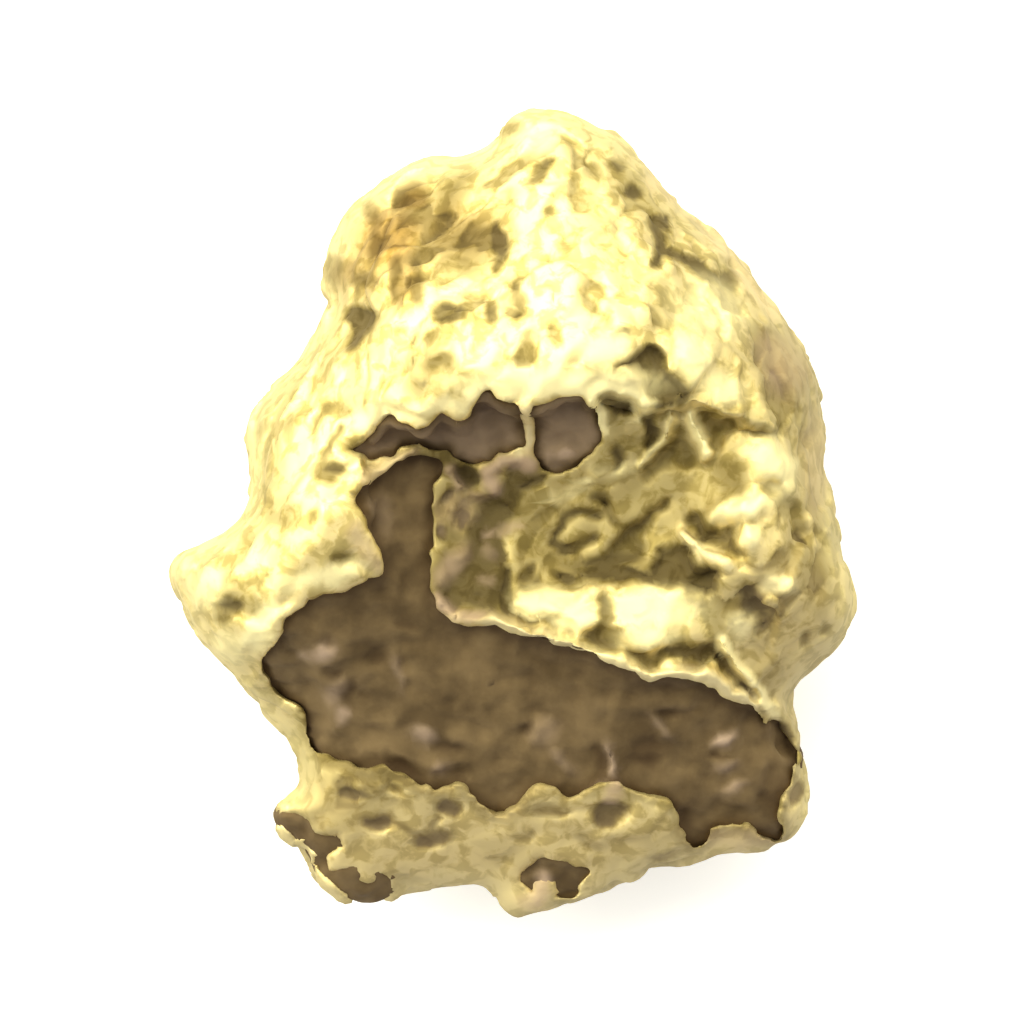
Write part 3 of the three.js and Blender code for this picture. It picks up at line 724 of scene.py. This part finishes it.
RIM = RIM_HEIGHT + swell(RIM_SWELLINGS)
BEYOND_BROW = (PLAN_Y - BROW_Y + np.hypot(PLAN_Y - BROW_Y, CREST)) / 2
FRONT_PLANE = FRONT_HEIGHT + FRONT_FALL * PLAN_Y - (FRONT_FALL + CROWN_FALL) * BEYOND_BROW
FRONT_RISE = FRONT_PLANE + swell(FRONT_SWELLINGS)
BACK_FALL = BACK_DEPTH + swell(BACK_SWELLINGS)
DISTANCE_IN = distance_in_from_rim()
ARMS = np.max([ragged_depth_in(arm) for arm in ARM_EDGES], axis=0)
MATRIX_MOUTH = np.maximum(ragged_depth_in(MATRIX_EDGE), ARMS)
CARVED, BROWNNESS = carving()
PINKNESS = np.maximum(patches(BLUSHES), strokes(BLUSH_LINES))
EDGE_WEAR = RIM_WEAR * (1 - smooth_step(DISTANCE_IN, 0.0, RIM_WEAR_WIDTH)) * (1 - BROWNNESS)
# Painted highlights, and the real wear along the rim.
HIGHLIGHT_AND_WEAR = np.maximum(np.maximum(patches(PAINTED_HIGHLIGHTS), strokes(PAINTED_HIGHLIGHT_LINES)), EDGE_WEAR)
OCHRE = patches(OCHRES)
CALM = patches(CALM_PATCHES)
STONE_HEIGHT, STONE_TAN, STONE_DARK = stone_marks()
CARVED_SLOPE = np.hypot(*np.gradient(CARVED, VOXEL))


def side_distance(up, rise, roundness):
    """Signed distance, nearly, from one side of the lump, at a height up from the widest line."""
    lift = np.maximum(up, 0) / rise
    run = 1 - np.minimum(DISTANCE_IN / roundness, 1)
    size = np.hypot(lift, run)
    slope = np.hypot(lift / rise, run / roundness)
    return (size - 1) * size / np.maximum(slope, LEAST_SLOPE)


def front_distance(level, lowered):
    """The same from the front, once it is lowered by a map of depths."""
    rise = np.maximum(FRONT_RISE, LEAST_RISE)
    return side_distance(level + lowered - RIM, rise, FRONT_ROUND) / np.sqrt(1 + CARVED_SLOPE**2)


def back_distance(level):
    """The same from the back."""
    return side_distance(RIM - level, BACK_FALL, BACK_ROUND)


CRUST_MOUTH = ragged_depth_in(CRUST_EDGE)
PLUG_MOUTH = ragged_depth_in(PLUG_EDGE)
POCKETS = [(MATRIX_MOUTH, MATRIX_FLOOR), (CRUST_MOUTH, CRUST_FLOOR), (PLUG_MOUTH, PLUG_FLOOR)]


def gold_level(level):
    """One level of the gold's distance field."""
    field = np.maximum(front_distance(level, CARVED), back_distance(level))
    for mouth, floor in POCKETS:
        field = np.maximum(field, np.minimum(mouth, level - floor))
    return np.maximum(field, -level)


def stone_level(level, mouth, floor, sunk):
    """One level of the distance field of a body of ironstone that lies sunk in its pocket."""
    field = np.maximum(front_distance(level, CARVED + sunk - STONE_HEIGHT), back_distance(level))
    return np.maximum(field, np.maximum(-mouth - STONE_OVERLAP, floor - level))


# ---------- Meshes ----------
def new_object(name, data):
    """Puts a mesh, a light or a camera in the scene."""
    made = bpy.data.objects.new(name, data)
    bpy.context.scene.collection.objects.link(made)
    return made


def field_mesh(name, level_of):
    """A closed mesh, in nugget millimetres, where a distance field is nought."""
    field = np.stack([level_of(level) for level in LEVELS], axis=2)
    field = np.clip(field, -BAND, BAND).astype(np.float32)
    grid = openvdb.FloatGrid(BAND)
    grid.copyFromArray(field)
    points, quads = grid.convertToQuads(0)
    mesh = bpy.data.meshes.new(name)
    mesh.from_pydata((points * VOXEL + GRID_LOW).tolist(), [], quads.tolist())
    mesh.update()
    mesh.validate()
    return mesh


def numbers_of(items, name, width):
    """One property of a mesh's items, as rows of numbers."""
    values = np.empty(len(items) * width, np.float32)
    items.foreach_get(name, values)
    return values.reshape(-1, width).astype(float)


def points_of(mesh):
    return numbers_of(mesh.vertices, "co", 3)


def normals_of(mesh):
    return numbers_of(mesh.vertex_normals, "vector", 3)


def move_points(mesh, places):
    mesh.vertices.foreach_set("co", places.astype(np.float32).ravel())
    mesh.update()


def thinned(mesh, faces):
    """The same mesh with its triangles brought down to a number, fewest where it is plainest."""
    piece = new_object(mesh.name, mesh)
    triangles = sum(len(polygon.vertices) - 2 for polygon in mesh.polygons)
    thinner = piece.modifiers.new("thin", "DECIMATE")
    thinner.ratio = min(1, faces / triangles)
    bpy.context.view_layer.update()
    result = bpy.data.meshes.new_from_object(piece.evaluated_get(bpy.context.evaluated_depsgraph_get()))
    bpy.data.objects.remove(piece)
    return result


def around(mesh, rounds):
    """Each point's place after being drawn to its neighbours a number of times."""
    edges = np.empty(len(mesh.edges) * 2, np.int32)
    mesh.edges.foreach_get("vertices", edges)
    a, b = edges.reshape(-1, 2).T
    count = len(mesh.vertices)
    ends, others = np.concatenate([a, b]), np.concatenate([b, a])
    neighbours = np.bincount(ends, minlength=count)
    places = points_of(mesh)
    for _ in range(rounds):
        sums = [np.bincount(ends, places[others, axis], count) for axis in range(3)]
        places = np.stack(sums, axis=1) / neighbours[:, None]
    return places


def hollowness(mesh, rounds):
    """How far each point lies below its surroundings, in nugget millimetres."""
    return np.sum((around(mesh, rounds) - points_of(mesh)) * normals_of(mesh), axis=1)


def over_plan(plan, mesh):
    """A plan map's value at each point of a mesh."""
    x, y = (points_of(mesh)[:, :2] - GRID_LOW[:2]).T / VOXEL
    column, row = np.floor(x).astype(int), np.floor(y).astype(int)
    u, v = x - column, y - row
    near = plan[column, row] * (1 - v) + plan[column, row + 1] * v
    far = plan[column + 1, row] * (1 - v) + plan[column + 1, row + 1] * v
    return near * (1 - u) + far * u


def add_shade(mesh, name, values):
    """Keeps a number for each point, for the material to read by its name."""
    layer = mesh.attributes.new(name, "FLOAT", "POINT")
    layer.data.foreach_set("value", values.astype(np.float32))


def shade_of(mesh, name):
    return numbers_of(mesh.attributes[name].data, "value", 1)[:, 0]


def finished_piece(mesh, name, node, material):
    """Puts a mesh in its place in metres, on the body, standing for a node."""
    move_points(mesh, points_of(mesh) * MM + CENTRE)
    mesh.polygons.foreach_set("use_smooth", [True] * len(mesh.polygons))
    mesh.materials.clear()
    mesh.materials.append(material)
    piece = new_object(name, mesh)
    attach(piece, "root")
    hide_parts(node)


# ---------- Skins ----------
FACET_EDGE = 14  # how sharply one patch of the skin ends against the next
LEAST_WEIGHT = 1e-9  # keeps a division from failing
GRAIN = np.array([0.6, 0.8, 0.0])  # the way the patches run
GRAIN_STRETCH = 0.35
SWIRL, SWIRL_SIZE, SWIRL_SEEDS = 0.4, 1.4, (21, 22, 23)  # how far the grain is swirled, and over what size

# The gold's skin: size, seed and height of its lumps, broad patches and fine patches.
LUMPS = (2.1, 31, 0.14)
BROAD = (1.25, 32, 0.22)
FINE = (0.5, 33, 0.16)
# How much the broad and the fine patches' tones count, and how much painted shade darkens the creases at
# their edges.
BROAD_TONE, FINE_TONE = 0.55, 0.45
BROAD_EDGE, FINE_EDGE = 0.2, 0.12
# Dullness that a patch takes on, and the tones over which it does.
DULLING = [(0.14, 0.5, 0.56), (0.36, 0.66, 0.72)]
DULL_SUNK = 0.15  # how far back a dull patch lies
GOLD_OUT = 0.04  # how far the whole skin is moved out

# The ironstone's skin: size, seed and height of its lumps, and of the cells that pit it.
STONE_LUMPS = [(1.3, 51, 0.12), (0.6, 52, 0.14), (0.3, 53, 0.06)]
STONE_CELLS = (0.55, 54, 0.15)
CELL_REACH = 0.6  # the share of its size at which a cell is as high as it gets
STONE_OUT = -0.08

# The heights over which the sides turn into the front, and the same for how far up they face.
FRONT_LEVELS = (4.5, 5.5)
FRONT_FACING = (0.0, 0.3)

# Dirt and painted shade in hollows: how many rounds of smoothing show them, the depth that is full
# of it, the share of it that is let off, and how brown it is.
WIDE_HOLLOWS = (40, 0.3, 0.3, 0.2)
FINE_HOLLOWS = (12, 0.08, 0.2, 0.2)
STONE_HOLLOWS = (20, 0.12, 0.0, 0.4)
STONE_EDGE = (0.0, 0.35)  # the painted shade along the ironstone's edge, in from its mouth
ARMS_SHADE_NARROWING = 2  # how much narrower that painted shade is under the brow

HIGHLIGHT_AND_WORN_MATT = 0.45  # how matt the painted highlights and the worn rim are
ARM_PAINTED_LIGHT = 0.38  # painted light: how much lighter the ironstone is under the brow, where it lies in shade
ARM_PAINTED_LIGHT_EDGE = (0.0, 0.3)


def facets(points, size, seed):
    """Flattish patches, about size across, each tilted its own way.

    Gives their relief, where the steepest rise one in one, a number from 0 to 1 for each patch,
    and how near each point is to a patch's edge.
    """
    scaled = points / size
    cell = np.floor(scaled).astype(np.int64)
    relief, tone, largest = (np.zeros(len(points)) for _ in range(3))
    weights = np.full(len(points), LEAST_WEIGHT)
    for step in itertools.product((-1, 0, 1), repeat=3):
        entry = table_place(cell + step, seed)
        offset = scaled - cell - step - CENTRES[entry]
        weight = np.exp(-FACET_EDGE * np.sum(offset * offset, axis=1))
        relief += weight * np.sum(DIRECTIONS[entry] * offset, axis=1)
        tone += weight * TONES[entry]
        weights += weight
        np.maximum(largest, weight, out=largest)
    return size * relief / weights, tone / weights, 1 - largest / weights


def bent(points):
    """The points drawn out along the grain and swirled, so that noise over them runs with it."""
    along = points @ GRAIN
    swirl = np.stack([noise(points, SWIRL_SIZE, seed) for seed in SWIRL_SEEDS], axis=1)
    return points - GRAIN_STRETCH * along[:, None] * GRAIN + SWIRL * swirl


def gold_skin(points):
    """How far the gold's hammered skin stands out at each point, and how dull it is: tarnished patches, and
    painted shade in the creases between them.
    """
    over = bent(points)
    broad, broad_tone, broad_edge = facets(over, *BROAD[:2])
    fine, fine_tone, fine_edge = facets(over, *FINE[:2])
    tone = BROAD_TONE * broad_tone + FINE_TONE * fine_tone
    patchy = sum(share * smooth_step(tone, start, end) for share, start, end in DULLING)
    # Painted shade along the creases between patches, over their tarnish.
    dull = patchy + BROAD_EDGE * broad_edge + FINE_EDGE * fine_edge
    relief = LUMPS[2] * noise(over, *LUMPS[:2]) + BROAD[2] * broad + FINE[2] * fine
    return relief - DULL_SUNK * dull + GOLD_OUT, dull


def front_share(mesh):
    """1 on the front, which the plan maps are about, and 0 on the sides and the back."""
    high = smooth_step(points_of(mesh)[:, 2], *FRONT_LEVELS)
    facing = smooth_step(normals_of(mesh)[:, 2], *FRONT_FACING)
    return np.maximum(high, facing)


def calm(mesh):
    """How much of the skin's relief is left: less at the rim and in the calm patches, none underneath."""
    mouth = np.max([mouth for mouth, _ in POCKETS], axis=0)
    lips = LIP_CALM * (1 - smooth_step(-over_plan(mouth, mesh), 0.0, LIP_WIDTH))
    rim = RIM_CALM * (1 - smooth_step(over_plan(DISTANCE_IN, mesh), 0.0, RIM_WIDTH))
    left = 1 - np.maximum(np.maximum(over_plan(CALM, mesh), lips), rim) * front_share(mesh)
    return left * smooth_step(points_of(mesh)[:, 2], *RESTING_LEVELS)


def hollow_dirt_and_shade(mesh, rounds, full, spared, brown):
    """Dirt and painted shade in the hollows of a mesh, darker the deeper they are."""
    return brown * np.clip(hollowness(mesh, rounds) / full - spared, 0, 1)


def make_gold(material):
    """The gold, with what its material reads: dirt and painted shade, painted highlights and wear, blush,
    matt and ochre.
    """
    mesh = field_mesh("gold", gold_level)
    points = points_of(mesh)
    out, dull = gold_skin(points)
    add_shade(mesh, "dull", dull * calm(mesh))
    move_points(mesh, points + normals_of(mesh) * (out * calm(mesh))[:, None])
    mesh = thinned(mesh, GOLD_FACES)
    dull = shade_of(mesh, "dull")
    # Dirt and painted shade in the hollows.
    hollow_darkening = hollow_dirt_and_shade(mesh, *WIDE_HOLLOWS) + hollow_dirt_and_shade(mesh, *FINE_HOLLOWS)
    on_front = front_share(mesh)
    brown = over_plan(BROWNNESS, mesh) * on_front
    highlight_and_wear = over_plan(HIGHLIGHT_AND_WEAR, mesh) * on_front
    blush = over_plan(PINKNESS, mesh) * on_front
    # Dirt, stains and painted shade darken the gold; painted highlights and wear take them off.
    dirt_and_shade = np.clip(hollow_darkening + dull + brown, 0, 1) * (1 - highlight_and_wear)
    add_shade(mesh, "dirt_and_shade", dirt_and_shade)
    add_shade(mesh, "highlight_and_wear", highlight_and_wear)
    add_shade(mesh, "blush", blush)
    add_shade(mesh, "matt", np.maximum(np.maximum(dirt_and_shade, blush), HIGHLIGHT_AND_WORN_MATT * highlight_and_wear))
    add_shade(mesh, "ochre", over_plan(OCHRE, mesh) * on_front)
    finished_piece(mesh, "nugget_gold", "gold_nugget", material)


def stone_skin(points):
    """How far the ironstone's skin stands out at each point."""
    size, seed, height = STONE_CELLS
    pitted = np.minimum(cell_distance(points, size, seed), CELL_REACH)
    lumps = sum(rise * noise(points, across, place) for across, place, rise in STONE_LUMPS)
    return lumps + height * pitted + STONE_OUT


def make_stone(name, node, mouth, floor, sunk, edge_shade, material):
    """One body of ironstone, sunk in its pocket, with what its material reads: dark marks, dirt and painted
    shade, and tan specks with painted light under the brow.
    """
    mesh = field_mesh(name, lambda level: stone_level(level, mouth, floor, sunk))
    points = points_of(mesh)
    move_points(mesh, points + normals_of(mesh) * stone_skin(points)[:, None])
    mesh = thinned(mesh, STONE_FACES)
    # Painted shade along the ironstone's edge, where it meets the gold.
    edge = 1 - smooth_step(over_plan(mouth + ARMS_SHADE_NARROWING * np.maximum(ARMS, 0), mesh), *STONE_EDGE)
    dirt_and_shade = hollow_dirt_and_shade(mesh, *STONE_HOLLOWS) + edge_shade * edge + over_plan(STONE_DARK, mesh)
    add_shade(mesh, "dirt_and_shade", np.clip(dirt_and_shade, 0, 1))
    # Painted light on the ironstone under the brow, over its tan specks.
    tan = np.maximum(STONE_TAN, ARM_PAINTED_LIGHT * smooth_step(ARMS, *ARM_PAINTED_LIGHT_EDGE))
    add_shade(mesh, "blush", over_plan(tan, mesh))
    finished_piece(mesh, name, node, material)


# ---------- Materials ----------
# Colours from clean to dirty and painted shade, and of the mottling from dark to light: place and colour.
GOLD_DIRT_AND_SHADE = [
    (0, (1, 0.83, 0.38)), (0.25, (0.57, 0.465, 0.2)), (0.6, (0.31, 0.24, 0.085)), (1, (0.115, 0.084, 0.03)),
]
GOLD_MOTTLES = [(0.4, (0.71, 0.68, 0.53)), (0.47, (0.9, 0.88, 0.78)), (0.53, (1, 1, 1))]
GOLD_MOTTLING = (0.45, 0.5)  # size and swirl
OCHRE_TINT = (0.48, 0.37, 0.23)
# The colour of the painted highlights and of the worn rim.
HIGHLIGHT_AND_WORN_GOLD = (0.93, 0.84, 0.46)
PINK_GOLD = (0.46, 0.33, 0.22)
GOLD_METAL = (0.95, 0.1)  # how metallic the gold is where it is bright and where it is matt
GOLD_ROUGH = (0.54, 0.9)  # the same for its roughness
GOLD_SHADER = {"Specular IOR Level": 0.2}

STONE_GROUND = [(0.35, (0.084, 0.053, 0.021)), (0.65, (0.163, 0.109, 0.048))]
STONE_MOTTLING = (1.1, 0.0)
# The colour of the tan specks and of the painted light under the brow.
STONE_SPECK = (0.4, 0.29, 0.2)
# The darkest ironstone, for its dark marks, dirt and painted shade.
STONE_DIRT_AND_SHADE = (0.06, 0.034, 0.013)
STONE_SHADER = {"Roughness": 0.85, "Specular IOR Level": 0.25}

MOTTLING_DETAIL = 4


def set_sockets(node, values):
    for socket, value in values.items():
        node.inputs[socket].default_value = value


def new_material(name, values):
    """A material, its nodes and its shader, with some of the shader's own sockets set."""
    material = bpy.data.materials.new(name)
    material.use_nodes = True
    shader = material.node_tree.nodes["Principled BSDF"]
    set_sockets(shader, values)
    return material, material.node_tree.nodes, shader


def link(source, output, target, socket):
    source.id_data.links.new(source.outputs[output], target.inputs[socket])


def shade_node(nodes, name):
    """A node that reads one of a mesh's own numbers."""
    node = nodes.new("ShaderNodeAttribute")
    node.attribute_name = name
    return node


def ramped(nodes, source, stops):
    """A colour ramp through stops of place and colour, run by a node's number."""
    ramp = nodes.new("ShaderNodeValToRGB")
    elements = ramp.color_ramp.elements
    while len(elements) < len(stops):
        elements.new(0.5)
    for element, (place, colour) in zip(elements, stops):
        element.position = place
        element.color = (*colour, 1)
    link(source, "Fac", ramp, "Fac")
    return ramp


def ranged(nodes, source, ends, shader, socket):
    """Carries a node's number from 0 and 1 to two ends, for one of the shader's sockets."""
    node = nodes.new("ShaderNodeMapRange")
    set_sockets(node, {"To Min": ends[0], "To Max": ends[1]})
    link(source, "Fac", node, "Value")
    link(node, "Result", shader, socket)


def mixed(nodes, below, name, colour, blend="MIX"):
    """A node's colour with a plain one over it, as far as one of the mesh's own numbers says."""
    node = nodes.new("ShaderNodeMixRGB")
    node.blend_type = blend
    set_sockets(node, {"Color2": (*colour, 1)})
    link(shade_node(nodes, name), "Fac", node, "Fac")
    link(below, "Color", node, "Color1")
    return node


def mottling(nodes, size, swirl):
    """Noise in the material whose patches are about size nugget millimetres across."""
    place = nodes.new("ShaderNodeTexCoord")
    mottle = nodes.new("ShaderNodeTexNoise")
    set_sockets(mottle, {"Scale": 1 / (size * MM), "Detail": MOTTLING_DETAIL, "Distortion": swirl})
    link(place, "Object", mottle, "Vector")
    return mottle


def gold_material():
    """Gold, browner and duller where it is dirty and where shade is painted, ochre, bright where highlights
    are painted and at the worn rim, and pinkish in its patches.
    """
    material, nodes, shader = new_material("native_gold", GOLD_SHADER)
    # Dirt and painted shade darken the gold.
    ramp = ramped(nodes, shade_node(nodes, "dirt_and_shade"), GOLD_DIRT_AND_SHADE)
    ochred = mixed(nodes, ramp, "ochre", OCHRE_TINT, "MULTIPLY")
    mottles = ramped(nodes, mottling(nodes, *GOLD_MOTTLING), GOLD_MOTTLES)
    mottled = nodes.new("ShaderNodeMixRGB")
    mottled.blend_type = "MULTIPLY"
    set_sockets(mottled, {"Fac": 1})
    link(ochred, "Color", mottled, "Color1")
    link(mottles, "Color", mottled, "Color2")
    # Painted highlights and the worn rim lighten the gold.
    highlighted_and_worn = mixed(nodes, mottled, "highlight_and_wear", HIGHLIGHT_AND_WORN_GOLD)
    pinked = mixed(nodes, highlighted_and_worn, "blush", PINK_GOLD)
    link(pinked, "Color", shader, "Base Color")
    matt = shade_node(nodes, "matt")
    ranged(nodes, matt, GOLD_METAL, shader, "Metallic")
    ranged(nodes, matt, GOLD_ROUGH, shader, "Roughness")
    return material


def stone_material():
    """Brown ironstone, mottled, with pinkish specks and painted light under the brow, and with painted
    shade in its hollows and along its edges, over its dark marks and dirt.
    """
    material, nodes, shader = new_material("ironstone", STONE_SHADER)
    ground = ramped(nodes, mottling(nodes, *STONE_MOTTLING), STONE_GROUND)
    specked = mixed(nodes, ground, "blush", STONE_SPECK)
    dirtied_and_shaded = mixed(nodes, specked, "dirt_and_shade", STONE_DIRT_AND_SHADE)
    link(dirtied_and_shaded, "Color", shader, "Base Color")
    return material


gold = gold_material()
ironstone = stone_material()
make_gold(gold)
matrix_sunk = MATRIX_SUNK - ARMS_RISE * smooth_step(ARMS, *ARMS_RISE_EDGE)
make_stone("nugget_matrix", "ironstone_matrix", *POCKETS[0], matrix_sunk, MATRIX_DARK, ironstone)
make_stone("nugget_crust", "ironstone_ridge", *POCKETS[1], CRUST_SUNK, CRUST_DARK, ironstone)
make_stone("nugget_plug", "ironstone_plug", *POCKETS[2], PLUG_SUNK, PLUG_DARK, ironstone)


# ---------- Studio ----------
FLOOR_REACH = 150  # half the floor's side, in lengths of the nugget
FLOOR_SHADER = {
    "Base Color": (0.9, 0.9, 0.89, 1), "Roughness": 0.9, "Specular IOR Level": 0.0,
    "Emission Color": (1, 1, 1, 1), "Emission Strength": 0.35,
}
WORLD_COLOUR = (0.43, 0.42, 0.46, 1)
WARM = (1, 0.985, 0.79)
LIGHT_AWAY = 0.3  # metres from the nugget
# Soft lights: name, direction, side in metres, radiance.
LIGHTS = [
    ("key", (-0.3, 0.8, 0.5), 0.6, 3.4),
    ("left", (-0.85, 0.1, 0.5), 0.4, 2.0),
    ("right", (0.8, 0.3, 0.5), 0.4, 1.1),
]
LENS = 200
SENSOR = 36
LENGTH_IN_FRAME = 0.787  # the nugget's length as a share of the frame's width
FOCUS_HEIGHT = 5.0  # the height at which the frame is that wide
CLIP = 100  # how many times nearer and further than the nugget the camera still sees


def make_floor():
    """A plain pale floor that fills the frame."""
    mesh = bpy.data.meshes.new("floor")
    reach = FLOOR_REACH * LENGTH * MM
    corners = [(-reach, -reach), (reach, -reach), (reach, reach), (-reach, reach)]
    mesh.from_pydata([(x, y, cad_low.z) for x, y in corners], [], [(0, 1, 2, 3)])
    floor = new_object("floor", mesh)
    mesh.materials.append(new_material("floor", FLOOR_SHADER)[0])
    floor.visible_glossy = False


def soft_light(name, direction, size, radiance):
    """A square light that shines on the nugget from a direction."""
    data = bpy.data.lights.new(name, "AREA")
    data.size = size
    data.energy = radiance * math.pi * size * size
    data.color = WARM
    light = new_object(name, data)
    towards = np.array(direction, float) / np.linalg.norm(direction)
    light.location = np.array(CENTRE) + towards * LIGHT_AWAY
    look = Vector(CENTRE) - Vector(light.location)
    light.rotation_euler = look.to_track_quat("-Z", "Y").to_euler()


def make_world():
    """An even grey all round."""
    world = bpy.data.worlds.new("studio")
    world.use_nodes = True
    set_sockets(world.node_tree.nodes["Background"], {"Color": WORLD_COLOUR})
    bpy.context.scene.world = world


def make_camera():
    """The camera, straight over the nugget as in the photograph."""
    data = bpy.data.cameras.new("camera")
    data.lens = LENS
    data.sensor_width = SENSOR
    camera = new_object("camera", data)
    width = LENGTH * MM / LENGTH_IN_FRAME
    away = width / 2 / (SENSOR / 2 / LENS)
    camera.location = (CENTRE[0], CENTRE[1], cad_low.z + FOCUS_HEIGHT * MM + away)
    data.clip_start = away / CLIP
    data.clip_end = away * CLIP
    bpy.context.scene.camera = camera


make_floor()
make_world()
for light in LIGHTS:
    soft_light(*light)
make_camera()
bpy.context.scene.view_settings.view_transform = "Standard"
